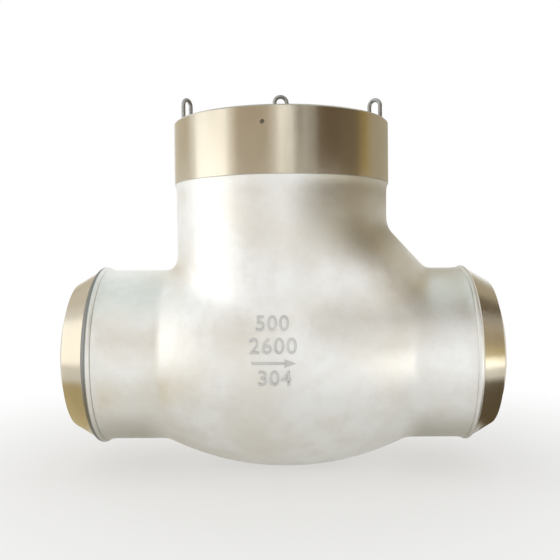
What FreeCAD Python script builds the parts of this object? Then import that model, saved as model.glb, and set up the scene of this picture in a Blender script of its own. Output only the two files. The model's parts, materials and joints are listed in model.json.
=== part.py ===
import FreeCAD, Part
import math
import os
import Sketcher

# Swing check valve with butt-weld ends and a pressure-sealed bonnet.
# Flow runs along +X, the neck stands along +Z, and the hinge pin lies along Y.
# The origin is under the neck axis, level with the lowest point of the casting.

DRIVING_SIZES = [
    # Run of the casting, from weld end to weld end
    ("end_to_end", 1473),
    ("run_bore_radius", 204),
    ("weld_end_wall", 50),
    ("root_face", 2),
    ("lower_bevel_height", 19),
    ("lower_bevel_angle", 37.5),
    ("upper_bevel_angle", 10),
    ("end_taper_angle", 30),
    ("tube_wall", 94),
    ("inlet_bead_height", 12),
    ("inlet_bead_width", 30),
    ("outlet_bead_height", 7),
    ("outlet_bead_width", 20),
    # Chamber bulge, outside the neck
    ("chamber_step", 24),
    ("chamber_overreach", 43),
    ("chamber_offset", 12),
    ("chamber_wall", 75),
    # Neck and its machined band
    ("neck_wall", 73),
    ("band_step", 7),
    ("band_height", 213),
    ("rim_chamfer", 5),
    ("junction_side_radius", 40),
    ("junction_front_radius", 250),
    # Slanted shoulder between neck and outlet
    ("shoulder_rise", 156),
    ("shoulder_run", 136),
    ("shoulder_side_inset", 50),
    ("shoulder_sink", 10),
    # Inside of the neck
    ("disc_room", 68),
    ("seal_bore_step", 6),
    ("ledge_width", 14),
    ("ledge_thickness", 25),
    ("ledge_cone", 20),
    ("shelf_rise", 17),
    ("hinge_room", 300),
    ("groove_depth", 35),
    ("groove_depth_from_rim", 39),
    ("knockout_radius", 7),
    ("knockout_below_groove_top", 14),
    ("knockout_turn", -98),
    # Seat and disc
    ("seat_setback", 131),
    ("seat_tilt", 6),
    ("seat_port_step", 8),
    ("seat_ring_step", 24),
    ("seat_ring_length", 40),
    ("seat_ring_stand", 14),
    ("seat_land_width", 20),
    ("seat_land_height", 3),
    ("seat_relief_reach", 75),
    ("seat_relief_depth", 2),
    ("disc_inset", 2),
    ("disc_thickness", 62),
    ("disc_edge_chamfer", 24),
    ("disc_dish", 8),
    ("disc_boss_radius", 60),
    ("disc_boss_height", 8),
    ("stud_radius", 28),
    ("stud_tail", 22),
    ("disc_washer_radius", 52),
    ("disc_washer_thickness", 8),
    ("disc_nut_radius", 49),
    ("disc_nut_height", 44),
    ("cotter_radius", 4),
    ("cotter_overhang", 12),
    # Hinge
    ("hinge_rise", 45),
    ("hinge_offset", 50),
    ("hinge_pin_radius", 20),
    ("hinge_pin_overhang", 12),
    ("hinge_pin_bevel", 1.5),
    ("hub_radius", 42),
    ("hub_half_width", 60),
    ("arm_eye_radius", 60),
    ("arm_eye_height", 56),
    ("arm_web_thickness", 38),
    ("arm_web_lift", 6),
    ("arm_web_narrow_end", 96),
    ("arm_rib_width", 24),
    ("arm_rib_height", 16),
    ("bush_wall", 6),
    ("clip_thickness", 3),
    ("clip_height", 7),
    ("ear_thickness", 36),
    ("ear_radius", 45),
    ("bracket_thickness", 30),
    ("bracket_back_room", 42),
    ("bracket_depth", 44),
    ("bracket_bolt_radius", 10),
    ("bracket_inner_room", 9),
    ("bracket_outer_room", 3),
    ("bracket_bolt_edge", 22),
    ("bracket_bolt_depth", 20),
    ("bracket_bolt_head_radius", 17),
    ("bracket_bolt_head_height", 12.5),
    ("bracket_washer_radius", 18),
    ("bracket_washer_thickness", 4),
    # Bonnet and pressure seal
    ("bonnet_flange_height", 55),
    ("bonnet_spigot_depth", 30),
    ("bonnet_spigot_gap", 1.5),
    ("bonnet_dish", 20),
    ("bonnet_hub_gap", 31),
    ("seal_width", 34),
    ("seal_cone_height", 52),
    ("seal_ring_rise", 10),
    ("seal_ring_lip", 1),
    ("spacer_ring_height", 47.7),
    ("segment_height", 56),
    ("segment_gap", 3),
    ("retainer_room", 8),
    ("retainer_thickness", 34),
    ("retainer_hole_gap", 0.9),
    ("cover_stud_radius", 12),
    ("cover_stud_inset", 86),
    ("cover_stud_depth", 36),
    ("cover_stud_tail", 7),
    ("cover_stud_count", 8),
    ("cover_nut_radius", 20.8),
    ("cover_nut_height", 22),
    ("cover_washer_radius", 22),
    ("cover_washer_thickness", 4),
    # Lifting loops
    ("loop_bar_radius", 7),
    ("loop_bend_radius", 22),
    ("loop_socket_depth", 26),
    ("left_loop_height", 104),
    ("right_loop_height", 95),
    ("centre_loop_height", 116),
    ("left_loop_turn", 62),
    ("right_loop_turn", -38),
    ("centre_loop_turn", 12),
    # Clearances
    ("slip_gap", 0.3),
    ("running_gap", 0.08),
    ("side_gap", 1),
    # How far a cutting tool reaches past the piece it cuts
    ("overcut", 1),
]

doc = FreeCAD.newDocument("swing_check_valve")
sheet = doc.addObject("Spreadsheet::Sheet", "sizes")
for row, (alias, number) in enumerate(DRIVING_SIZES, start=1):
    sheet.set("A%d" % row, alias)
    sheet.set("B%d" % row, str(number))
    sheet.setAlias("B%d" % row, alias)
doc.recompute()


class Size:
    """A number together with the sheet expression that gives it."""

    def __init__(self, value, text):
        self.value = float(value)
        self.text = text

    def __add__(self, other):
        other = as_size(other)
        return Size(self.value + other.value, "(%s + %s)" % (self.text, other.text))

    def __radd__(self, other):
        return as_size(other) + self

    def __sub__(self, other):
        other = as_size(other)
        return Size(self.value - other.value, "(%s - %s)" % (self.text, other.text))

    def __rsub__(self, other):
        return as_size(other) - self

    def __mul__(self, other):
        other = as_size(other)
        return Size(self.value * other.value, "(%s * %s)" % (self.text, other.text))

    def __rmul__(self, other):
        return as_size(other) * self

    def __truediv__(self, other):
        other = as_size(other)
        return Size(self.value / other.value, "(%s / %s)" % (self.text, other.text))

    def __neg__(self):
        return Size(-self.value, "(0 - %s)" % self.text)


def as_size(number):
    return number if isinstance(number, Size) else Size(number, repr(number))


def cos(angle):
    return Size(math.cos(math.radians(angle.value)), "cos(%s)" % angle.text)


def sin(angle):
    return Size(math.sin(math.radians(angle.value)), "sin(%s)" % angle.text)


class Sizes:
    """Every alias of the sheet as an attribute, and the sizes worked out from them."""


z = Sizes()
for alias, _ in DRIVING_SIZES:
    setattr(z, alias, Size(sheet.get(alias), "sizes." + alias))

# Radii about the run
z.weld_end_radius = z.run_bore_radius + z.weld_end_wall
z.tube_radius = z.run_bore_radius + z.tube_wall
z.seat_port_radius = z.run_bore_radius - z.seat_port_step
z.seat_ring_radius = z.run_bore_radius + z.seat_ring_step
z.disc_radius = z.seat_ring_radius - z.disc_inset

# Radii about the neck, each from the one it fits
z.neck_cavity_radius = z.seat_ring_radius + z.disc_room
z.neck_radius = z.neck_cavity_radius + z.neck_wall
z.band_radius = z.neck_radius + z.band_step
z.chamber_radius = z.neck_radius + z.chamber_step
z.neck_bore_radius = z.neck_cavity_radius - z.seal_bore_step
z.ledge_radius = z.neck_bore_radius - z.ledge_width
z.groove_radius = z.neck_bore_radius + z.groove_depth
z.bonnet_hub_radius = z.neck_bore_radius - z.seal_width
z.retainer_radius = z.neck_bore_radius - z.retainer_room
z.cover_stud_circle = z.bonnet_hub_radius - z.cover_stud_inset
z.loop_circle = (z.neck_bore_radius + z.band_radius) / 2

# Reaches along the run, from the neck's axis
z.chamber_half_length = z.neck_radius + z.chamber_overreach
z.shoulder_reach = z.neck_radius + z.shoulder_run
z.shoulder_side_reach = z.neck_radius - z.shoulder_side_inset
z.seat_offset = z.neck_cavity_radius - z.seat_setback
z.seat_relief_start = z.seat_offset + z.seat_relief_reach
z.bracket_back = z.neck_cavity_radius - z.bracket_back_room
z.bracket_front = z.bracket_back - z.bracket_depth
z.bracket_ear_outer = z.hub_half_width + z.side_gap + z.ear_thickness
z.bracket_bolt_outer = z.bracket_ear_outer + z.bracket_outer_room + z.bracket_washer_radius
z.bracket_bolt_inner = z.hub_half_width + z.side_gap - z.bracket_inner_room - z.bracket_washer_radius
z.bracket_half_width = z.bracket_bolt_outer + z.bracket_bolt_edge

# Heights above the run's axis
z.shelf_height = z.seat_ring_radius + z.shelf_rise
z.hinge_drop = z.shelf_height + z.hinge_rise
z.ledge_height = z.shelf_height + z.hinge_room
z.shoulder_height = z.tube_radius + z.shoulder_rise

# Levels and places that several pieces share, above the run's axis
axis_height = z.chamber_radius
half_length = z.end_to_end / 2
flange_top = z.ledge_height + z.bonnet_flange_height
seal_bottom = flange_top + z.slip_gap
seal_top = seal_bottom + z.seal_cone_height + z.seal_ring_rise
segment_bottom = seal_top + z.spacer_ring_height
groove_top = segment_bottom + z.segment_height
hub_top = groove_top - z.bonnet_hub_gap
rim_height = groove_top + z.groove_depth_from_rim
band_bottom = rim_height - z.band_height
retainer_top = groove_top + z.retainer_thickness
closure_radius = z.neck_bore_radius - z.slip_gap
hub_gap_radius = z.bonnet_hub_radius + z.slip_gap

# Places along the disc's own axis, from the seat face, downstream positive
disc_face = z.slip_gap
disc_back = disc_face + z.disc_thickness
boss_top = disc_back + z.disc_boss_height
eye_bottom = boss_top + z.slip_gap
eye_top = eye_bottom + z.arm_eye_height
washer_bottom = eye_top + z.slip_gap
nut_bottom = washer_bottom + z.disc_washer_thickness
nut_top = nut_bottom + z.disc_nut_height
stud_top = nut_top + z.stud_tail

# Hinge pin axis
hinge_x = z.hinge_offset * cos(z.seat_tilt) - z.hinge_drop * sin(z.seat_tilt) - z.seat_offset
hinge_z = z.hinge_offset * sin(z.seat_tilt) + z.hinge_drop * cos(z.seat_tilt)
ear_inner = z.hub_half_width + z.side_gap
ear_outer = ear_inner + z.ear_thickness
bush_radius = z.hinge_pin_radius + z.running_gap + z.bush_wall
pin_half_length = ear_outer + z.hinge_pin_overhang


def bind(item, path, size):
    item.setExpression(path, as_size(size).text)


def place(item, x=0, y=0, height=0, turn=None, axis=(0, 0, 1)):
    """Bind a piece's place and its turn about one axis to the sheet."""
    angle = as_size(turn if turn is not None else 0)
    item.Placement = FreeCAD.Placement(
        FreeCAD.Vector(as_size(x).value, as_size(y).value, as_size(height).value),
        FreeCAD.Rotation(FreeCAD.Vector(*axis), angle.value))
    bind(item, "Placement.Base.x", x)
    bind(item, "Placement.Base.y", y)
    bind(item, "Placement.Base.z", height)
    if turn is not None:
        bind(item, "Placement.Rotation.Angle", angle)


def place_on_run(item):
    place(item, height=axis_height)


def place_on_seat(item):
    """The piece's own Z becomes the disc's axis, its own X points down the seat."""
    place(item, x=-z.seat_offset, height=axis_height, turn=90 - z.seat_tilt, axis=(0, 1, 0))


def draw_outline(body, role, name, points):
    """A closed outline whose every corner is tied to the sheet."""
    sketch = body.newObject("Sketcher::SketchObject", name)
    plane = [item for item in body.Origin.OriginFeatures if item.Role == role][0]
    sketch.AttachmentSupport = [(plane, "")]
    sketch.MapMode = "FlatFace"
    corners = [(as_size(across), as_size(up)) for across, up in points]
    count = len(corners)
    for index in range(count):
        start = corners[index]
        end = corners[(index + 1) % count]
        sketch.addGeometry(Part.LineSegment(
            FreeCAD.Vector(start[0].value, start[1].value, 0),
            FreeCAD.Vector(end[0].value, end[1].value, 0)))
    for index in range(count):
        sketch.addConstraint(Sketcher.Constraint(
            "Coincident", index, 2, (index + 1) % count, 1))
    for index, (across, up) in enumerate(corners):
        tie_corner(sketch, index, "DistanceX", across, -2)
        tie_corner(sketch, index, "DistanceY", up, -1)
    return sketch


def tie_corner(sketch, index, kind, size, axis):
    if size.value == 0:
        sketch.addConstraint(Sketcher.Constraint("PointOnObject", index, 1, axis))
        return
    number = sketch.addConstraint(Sketcher.Constraint(kind, -1, 1, index, 1, size.value))
    bind(sketch, "Constraints[%d]" % number, size)


def turned(name, points):
    """A piece turned about its own Z axis, from corners given as radius and height."""
    body = doc.addObject("PartDesign::Body", name)
    body.Label = name
    sketch = draw_outline(body, "XZ_Plane", name + "_outline", points)
    lathe = body.newObject("PartDesign::Revolution", name + "_turning")
    lathe.Profile = sketch
    lathe.ReferenceAxis = (sketch, ["V_Axis"])
    lathe.Angle = 360
    sketch.Visibility = False
    return body


def ring(name, inner, outer, bottom, top):
    return turned(name, [(inner, bottom), (outer, bottom), (outer, top), (inner, top)])


def cylinder(name, radius, bottom, top, x=0, y=0):
    rod = doc.addObject("Part::Cylinder", name)
    bind(rod, "Radius", radius)
    bind(rod, "Height", as_size(top) - bottom)
    place(rod, x=x, y=y, height=bottom)
    return rod


def cross_cylinder(name, radius, half_width, x, height):
    """A cylinder along Y, centred on the valve's middle plane."""
    rod = doc.addObject("Part::Cylinder", name)
    bind(rod, "Radius", radius)
    bind(rod, "Height", as_size(half_width) * 2)
    place(rod, x=x, y=half_width, height=height, turn=as_size(90), axis=(1, 0, 0))
    return rod


def hexagon(name, radius, bottom, top, x=0, y=0):
    prism = doc.addObject("Part::Prism", name)
    prism.Polygon = 6
    bind(prism, "Circumradius", radius)
    bind(prism, "Height", as_size(top) - bottom)
    place(prism, x=x, y=y, height=bottom)
    return prism


def slab(name, low, high):
    """A box between two corners."""
    box = doc.addObject("Part::Box", name)
    for side, start, end in zip(("Length", "Width", "Height"), low, high):
        bind(box, side, as_size(end) - start)
    place(box, x=low[0], y=low[1], height=low[2])
    return box


def fused(name, pieces):
    union = doc.addObject("Part::MultiFuse", name)
    union.Shapes = pieces
    union.Refine = True
    union.Label = name
    return union


def cut(name, base, tools):
    tool = tools[0] if len(tools) == 1 else fused(name + "_tools", tools)
    difference = doc.addObject("Part::Cut", name)
    difference.Base = base
    difference.Tool = tool
    difference.Refine = True
    difference.Label = name
    return difference


def grouped(name, pieces):
    group = doc.addObject("Part::Compound", name)
    group.Links = pieces
    group.Label = name
    return group


# Casting

def line_chain(corners):
    points = [FreeCAD.Vector(x, 0, radius) for x, radius in corners]
    return [Part.makeLine(points[i], points[i + 1]) for i in range(len(points) - 1)]


def arc_over(left, middle, right):
    ends = [FreeCAD.Vector(x, 0, radius) for x, radius in (left, middle, right)]
    return Part.Arc(*ends).toShape()


def turned_about_run(edges):
    """Revolve a chain of edges, closed along the run's axis, about that axis."""
    first = edges[0].Vertexes[0].Point
    last = edges[-1].Vertexes[-1].Point
    foot_first = FreeCAD.Vector(first.x, 0, 0)
    foot_last = FreeCAD.Vector(last.x, 0, 0)
    closing = [Part.makeLine(last, foot_last), Part.makeLine(foot_last, foot_first),
               Part.makeLine(foot_first, first)]
    face = Part.Face(Part.Wire(edges + closing))
    return face.revolve(FreeCAD.Vector(0, 0, 0), FreeCAD.Vector(1, 0, 0), 360)


def weld_end_corners():
    """Weld preparation and taper, from the root face inward, as distance from the end."""
    root = z.run_bore_radius.value + z.root_face.value
    knee = z.run_bore_radius.value + z.lower_bevel_height.value
    top = z.weld_end_radius.value
    knee_back = (knee - root) * math.tan(math.radians(z.lower_bevel_angle.value))
    top_back = knee_back + (top - knee) * math.tan(math.radians(z.upper_bevel_angle.value))
    rise = z.tube_radius.value - top
    tube_back = top_back + rise / math.tan(math.radians(z.end_taper_angle.value))
    return [(0, root), (knee_back, knee), (top_back, top), (tube_back, z.tube_radius.value)]


def run_outside():
    """Weld ends, beads, tubes and the chamber bulge, as one turned outline."""
    end = half_length.value
    tube = z.tube_radius.value
    prep = weld_end_corners()
    bead_edge = end - prep[-1][0]
    inlet = [(-end + back, radius) for back, radius in prep]
    outlet = [(end - back, radius) for back, radius in reversed(prep)]
    inlet_inner = -bead_edge + z.inlet_bead_width.value
    outlet_inner = bead_edge - z.outlet_bead_width.value
    middle = z.chamber_offset.value
    reach = z.chamber_half_length.value
    edges = line_chain(inlet)
    edges.append(arc_over(
        (-bead_edge, tube),
        ((inlet_inner - bead_edge) / 2, tube + z.inlet_bead_height.value),
        (inlet_inner, tube)))
    edges += line_chain([(inlet_inner, tube), (middle - reach, tube)])
    edges.append(arc_over(
        (middle - reach, tube), (middle, z.chamber_radius.value), (middle + reach, tube)))
    edges += line_chain([(middle + reach, tube), (outlet_inner, tube)])
    edges.append(arc_over(
        (outlet_inner, tube),
        ((outlet_inner + bead_edge) / 2, tube + z.outlet_bead_height.value),
        (bead_edge, tube)))
    edges += line_chain(outlet)
    return turned_about_run(edges)


def shoulder():
    """Slanted blend from inside the round neck to a slanted section of the outlet tube."""
    root = z.neck_radius.value - z.shoulder_sink.value
    tube = z.tube_radius.value
    start = FreeCAD.Vector(0, 0, z.shoulder_height.value)
    upper = Part.Circle(start, FreeCAD.Vector(0, 0, 1), root)
    centre = FreeCAD.Vector(z.shoulder_side_reach.value, 0, 0)
    crest = FreeCAD.Vector(z.shoulder_reach.value, 0, tube)
    side = FreeCAD.Vector(centre.x, tube, 0)
    lower = Part.Ellipse(crest, side, centre)
    wires = [Part.Wire(upper.toShape()), Part.Wire(lower.toShape())]
    return Part.makeLoft(wires, True, True)


def chamber_arc_radius():
    rise = z.chamber_radius.value - z.tube_radius.value
    return (z.chamber_half_length.value ** 2 + rise ** 2) / (2 * rise)


def seat_frame():
    """Placement that carries the disc's own axis onto the casting."""
    return FreeCAD.Placement(
        FreeCAD.Vector(-z.seat_offset.value, 0, 0),
        FreeCAD.Rotation(FreeCAD.Vector(0, 1, 0), 90 - z.seat_tilt.value))


def chamber_cavity():
    """Space downstream of the seat wall, under the neck."""
    arc_radius = chamber_arc_radius() - z.chamber_wall.value
    crown = z.chamber_radius.value - z.chamber_wall.value
    drop = crown - z.run_bore_radius.value
    reach = math.sqrt(arc_radius ** 2 - (arc_radius - drop) ** 2)
    middle = z.chamber_offset.value
    bore = z.run_bore_radius.value
    bulge = turned_about_run([arc_over((middle - reach, bore), (middle, crown), (middle + reach, bore))])
    well = Part.makeCylinder(z.neck_cavity_radius.value, z.shelf_height.value + z.overcut.value)
    wall_face = -z.seat_ring_stand.value
    span = z.end_to_end.value
    beyond = Part.makeBox(2 * span, 2 * span, span, FreeCAD.Vector(-span, -span, wall_face))
    beyond.Placement = seat_frame().multiply(beyond.Placement)
    return bulge.fuse(well).common(beyond)


def neck_cavity():
    """Cored neck, bonnet ledge, finished seal bore and thrust-ring groove."""
    cavity_top = z.ledge_height.value - z.ledge_thickness.value
    cone_foot = cavity_top - z.ledge_cone.value
    corners = [
        (0, z.shelf_height.value),
        (z.neck_cavity_radius.value, z.shelf_height.value),
        (z.neck_cavity_radius.value, cone_foot),
        (z.ledge_radius.value, cavity_top),
        (z.ledge_radius.value, z.ledge_height.value),
        (z.neck_bore_radius.value, z.ledge_height.value),
        (z.neck_bore_radius.value, segment_bottom.value),
        (z.groove_radius.value, segment_bottom.value),
        (z.groove_radius.value, groove_top.value),
        (z.neck_bore_radius.value, groove_top.value),
        (z.neck_bore_radius.value, rim_height.value),
        (0, rim_height.value),
        (0, z.shelf_height.value),
    ]
    face = Part.Face(Part.makePolygon([FreeCAD.Vector(x, 0, height) for x, height in corners]))
    return face.revolve(FreeCAD.Vector(0, 0, 0), FreeCAD.Vector(0, 0, 1), 360)


def seat_pocket():
    """Run bore, its relief before the seat and the tilted counterbore that holds the seat ring."""
    span = z.end_to_end.value
    bore = Part.makeCylinder(
        z.run_bore_radius.value, span, FreeCAD.Vector(-span / 2, 0, 0), FreeCAD.Vector(1, 0, 0))
    pocket = Part.makeCylinder(
        z.seat_ring_radius.value + z.slip_gap.value, z.seat_ring_length.value,
        FreeCAD.Vector(0, 0, -z.seat_ring_length.value))
    pocket.Placement = seat_frame()
    relief_radius = z.run_bore_radius.value + z.seat_relief_depth.value
    relief = Part.makeCylinder(
        relief_radius, z.seat_relief_start.value - z.seat_offset.value,
        FreeCAD.Vector(-z.seat_relief_start.value, 0, 0), FreeCAD.Vector(1, 0, 0))
    return bore.fuse([pocket, relief])


def knockout_holes():
    """One radial hole behind each thrust segment, to push it out of its groove."""
    height = groove_top.value - z.knockout_below_groove_top.value
    inner = (z.neck_bore_radius.value + z.groove_radius.value) / 2
    holes = []
    for quarter in range(4):
        turn = math.radians(z.knockout_turn.value + 90 * quarter)
        outward = FreeCAD.Vector(math.cos(turn), math.sin(turn), 0)
        start = outward * inner + FreeCAD.Vector(0, 0, height)
        holes.append(Part.makeCylinder(
            z.knockout_radius.value, z.band_radius.value - inner + z.overcut.value, start, outward))
    return holes


def socket_holes():
    """Blind holes for the bracket bolts and for the legs of the two rim loops."""
    holes = []
    for x, y in bracket_bolt_places():
        holes.append(Part.makeCylinder(
            z.bracket_bolt_radius.value + z.running_gap.value, z.bracket_bolt_depth.value,
            FreeCAD.Vector(x.value, y.value, z.shelf_height.value - z.bracket_bolt_depth.value)))
    for x, turn in ((-z.loop_circle, z.left_loop_turn), (z.loop_circle, z.right_loop_turn)):
        for side in (-1, 1):
            leg_x = x + cos(turn) * z.loop_bend_radius * side
            leg_y = sin(turn) * z.loop_bend_radius * side
            holes.append(Part.makeCylinder(
                z.loop_bar_radius.value + z.running_gap.value, z.loop_socket_depth.value,
                FreeCAD.Vector(leg_x.value, leg_y.value, rim_height.value - z.loop_socket_depth.value)))
    return holes


def bracket_bolt_places():
    middle = -(z.bracket_back + z.bracket_front) / 2
    return [(middle, spread) for spread in
            (-z.bracket_bolt_outer, -z.bracket_bolt_inner, z.bracket_bolt_inner, z.bracket_bolt_outer)]


def junction_edge(quarter):
    """The one edge of a quarter where the neck rises from the run and its bulge."""
    for edge in quarter.Edges:
        box = edge.BoundBox
        middle = edge.valueAt((edge.FirstParameter + edge.LastParameter) / 2)
        on_neck = abs(math.hypot(middle.x, middle.y) - z.neck_radius.value) < 1
        if on_neck and box.XLength > 1 and box.ZLength > 1:
            return edge
    return None


def run_and_neck():
    """Run and neck, blended with a radius that grows from the sides to the front and back."""
    span = z.end_to_end.value
    neck = Part.makeCylinder(z.neck_radius.value, rim_height.value)
    plain = run_outside().fuse(neck)
    quarters = []
    for corner_x in (-span, 0):
        block = Part.makeBox(span, span, 2 * span, FreeCAD.Vector(corner_x, -span, -span))
        quarter = plain.common(block).Solids[0]
        edge = junction_edge(quarter)
        side, front = z.junction_side_radius.value, z.junction_front_radius.value
        starts_in_front = abs(edge.valueAt(edge.FirstParameter).x) < 1
        radii = (front, side) if starts_in_front else (side, front)
        quarter = quarter.makeFillet(radii[0], radii[1], [edge])
        quarters += [quarter, quarter.mirror(FreeCAD.Vector(0, 0, 0), FreeCAD.Vector(0, 1, 0))]
    seam_tolerance = 0.01
    return quarters[0].fuse(quarters[1:], seam_tolerance)


def casting():
    band = Part.makeCylinder(
        z.band_radius.value, z.band_height.value, FreeCAD.Vector(0, 0, band_bottom.value))
    rim = [edge for edge in band.Edges if edge.BoundBox.ZMin > rim_height.value - 1]
    band = band.makeChamfer(z.rim_chamfer.value, rim)
    outside = run_and_neck().fuse([shoulder(), band])
    tools = [chamber_cavity(), neck_cavity(), seat_pocket()] + knockout_holes() + socket_holes()
    body = doc.addObject("Part::Feature", "body")
    body.Label = "body"
    body.Shape = outside.cut(tools)
    place_on_run(body)
    return body


# Seat, disc and what holds the disc on its arm

def seat_ring():
    face = -z.seat_land_height
    land = z.seat_port_radius + z.seat_land_width
    piece = turned("seat_ring", [
        (z.seat_port_radius, -z.seat_ring_length),
        (z.seat_ring_radius, -z.seat_ring_length),
        (z.seat_ring_radius, face),
        (land, face),
        (land, 0),
        (z.seat_port_radius, 0)])
    place_on_seat(piece)
    return piece


def disc():
    """Disc with its seat land, dished face, back boss and integral stud."""
    land_inner = z.seat_port_radius
    dish_edge = land_inner - z.disc_dish
    edge_start = disc_back - z.disc_edge_chamfer
    back_edge = z.disc_radius - z.disc_edge_chamfer
    cotter_height = nut_top + z.stud_tail / 2
    blank = turned("disc_turning", [
        (0, disc_face + z.disc_dish),
        (dish_edge, disc_face + z.disc_dish),
        (land_inner, disc_face),
        (z.disc_radius, disc_face),
        (z.disc_radius, edge_start),
        (back_edge, disc_back),
        (z.disc_boss_radius, disc_back),
        (z.disc_boss_radius, boss_top),
        (z.stud_radius, boss_top),
        (z.stud_radius, stud_top),
        (0, stud_top)])
    hole = cross_cylinder(
        "disc_cotter_hole", z.cotter_radius + z.running_gap, z.stud_radius + z.overcut, 0, cotter_height)
    piece = cut("disc", blank, [hole])
    place_on_seat(piece)
    return piece


def disc_washer():
    piece = ring("disc_washer", z.stud_radius + z.slip_gap, z.disc_washer_radius,
                 washer_bottom, nut_bottom)
    place_on_seat(piece)
    return piece


def disc_nut():
    block = hexagon("disc_nut_block", z.disc_nut_radius, nut_bottom, nut_top)
    bore = cylinder("disc_nut_bore", z.stud_radius + z.running_gap, nut_bottom - z.overcut,
                    nut_top + z.overcut)
    piece = cut("disc_nut", block, [bore])
    place_on_seat(piece)
    return piece


def disc_cotter():
    """Split pin through the stud above the nut, with its eye at one end."""
    height = nut_top + z.stud_tail / 2
    reach = z.stud_radius + z.cotter_overhang
    shank = cross_cylinder("cotter_shank", z.cotter_radius, reach, 0, height)
    eye = doc.addObject("Part::Torus", "cotter_eye")
    bind(eye, "Radius1", z.cotter_radius * 2)
    bind(eye, "Radius2", z.cotter_radius)
    place(eye, y=reach + z.cotter_radius * 2, height=height, turn=as_size(90), axis=(0, 1, 0))
    piece = fused("disc_cotter", [shank, eye])
    place_on_seat(piece)
    return piece


# Hinge

def hinge_arm():
    """Arm with a hub on the hinge pin, a ribbed web and an eye on the disc's stud."""
    web_bottom = eye_bottom + z.arm_web_lift
    web_top = web_bottom + z.arm_web_thickness
    hub = cross_cylinder("arm_hub", z.hub_radius, z.hub_half_width, -z.hinge_drop, z.hinge_offset)
    eye = cylinder("arm_eye", z.arm_eye_radius, eye_bottom, eye_top)
    web = doc.addObject("Part::Wedge", "arm_web")
    low_end = -z.hinge_drop
    for path, size in (
            ("Xmin", -z.hub_half_width), ("Xmax", z.hub_half_width),
            ("X2min", -z.arm_web_narrow_end / 2), ("X2max", z.arm_web_narrow_end / 2),
            ("Ymin", low_end), ("Ymax", as_size(0)),
            ("Zmin", web_bottom), ("Zmax", web_top),
            ("Z2min", web_bottom), ("Z2max", web_top)):
        bind(web, path, size)
    web.Placement = FreeCAD.Placement(
        FreeCAD.Vector(0, 0, 0), FreeCAD.Rotation(FreeCAD.Vector(0, 0, 1), -90))
    rib = slab("arm_rib",
               (-z.hinge_drop, -z.arm_rib_width / 2, web_top - z.overcut),
               (-z.disc_washer_radius - z.arm_rib_height / 2, z.arm_rib_width / 2,
                web_top + z.arm_rib_height))
    solid = fused("arm_solid", [hub, eye, web, rib])
    pin_bore = cross_cylinder(
        "arm_pin_bore", z.hinge_pin_radius + z.running_gap, z.hub_half_width + z.overcut,
        -z.hinge_drop, z.hinge_offset)
    stud_bore = cylinder(
        "arm_stud_bore", z.stud_radius + z.running_gap, eye_bottom - z.overcut,
        eye_top + z.arm_rib_height)
    piece = cut("hinge_arm", solid, [pin_bore, stud_bore])
    place_on_seat(piece)
    return piece


def across_run(piece):
    """The piece's own Z becomes the hinge pin's axis."""
    place(piece, x=hinge_x, height=axis_height + hinge_z, turn=as_size(90), axis=(1, 0, 0))


def clip_place():
    return ear_outer + z.side_gap


def hinge_pin():
    """Plain pin with a groove for a clip near each end."""
    radius = z.hinge_pin_radius
    neck = radius - z.clip_height / 2
    groove = clip_place()
    groove_end = groove + z.clip_thickness + z.slip_gap
    bevel = z.hinge_pin_bevel
    piece = turned("hinge_pin", [
        (0, -pin_half_length), (radius - bevel, -pin_half_length),
        (radius, -pin_half_length + bevel),
        (radius, -groove_end), (neck, -groove_end), (neck, -groove), (radius, -groove),
        (radius, groove), (neck, groove), (neck, groove_end), (radius, groove_end),
        (radius, pin_half_length - bevel),
        (radius - bevel, pin_half_length), (0, pin_half_length)])
    across_run(piece)
    return piece


def hinge_bush(name, start, end):
    piece = ring(name, z.hinge_pin_radius + z.running_gap, bush_radius, start, end)
    across_run(piece)
    return piece


def hinge_clips():
    """Spring rings in the grooves of the pin, outside the bracket's ears."""
    inner = z.hinge_pin_radius - z.clip_height / 2 + z.running_gap
    outer = inner + z.clip_height
    play = z.slip_gap / 2
    near = clip_place() + play
    far = near + z.clip_thickness
    clips = []
    for name, start, end in (("clip_left", near, far), ("clip_right", -far, -near)):
        clips.append(ring(name, inner, outer, start, end))
    piece = grouped("hinge_clips", clips)
    across_run(piece)
    return piece


def ear_outline():
    """Corners of an ear, from the bracket's foot to the round eye on the pin."""
    lean = z.ear_radius
    return [
        (-z.bracket_back, z.shelf_height),
        (-z.bracket_front, z.shelf_height),
        (hinge_x, hinge_z - lean),
        (hinge_x, hinge_z + lean),
        (-z.bracket_back, z.shelf_height + z.bracket_thickness * 2)]


def bracket_ear(name, near):
    """A flat ear whose outline is drawn across the hinge pin."""
    body = doc.addObject("PartDesign::Body", name)
    sketch = draw_outline(body, "XZ_Plane", name + "_outline", ear_outline())
    pad = body.newObject("PartDesign::Pad", name + "_pad")
    pad.Profile = sketch
    bind(pad, "Length", z.ear_thickness)
    place(body, y=near)
    return body


def ear_eye(name, radius, middle_y, half_width):
    rod = cross_cylinder(name, radius, half_width, hinge_x, hinge_z)
    bind(rod, "Placement.Base.y", middle_y + half_width)
    return rod


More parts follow.
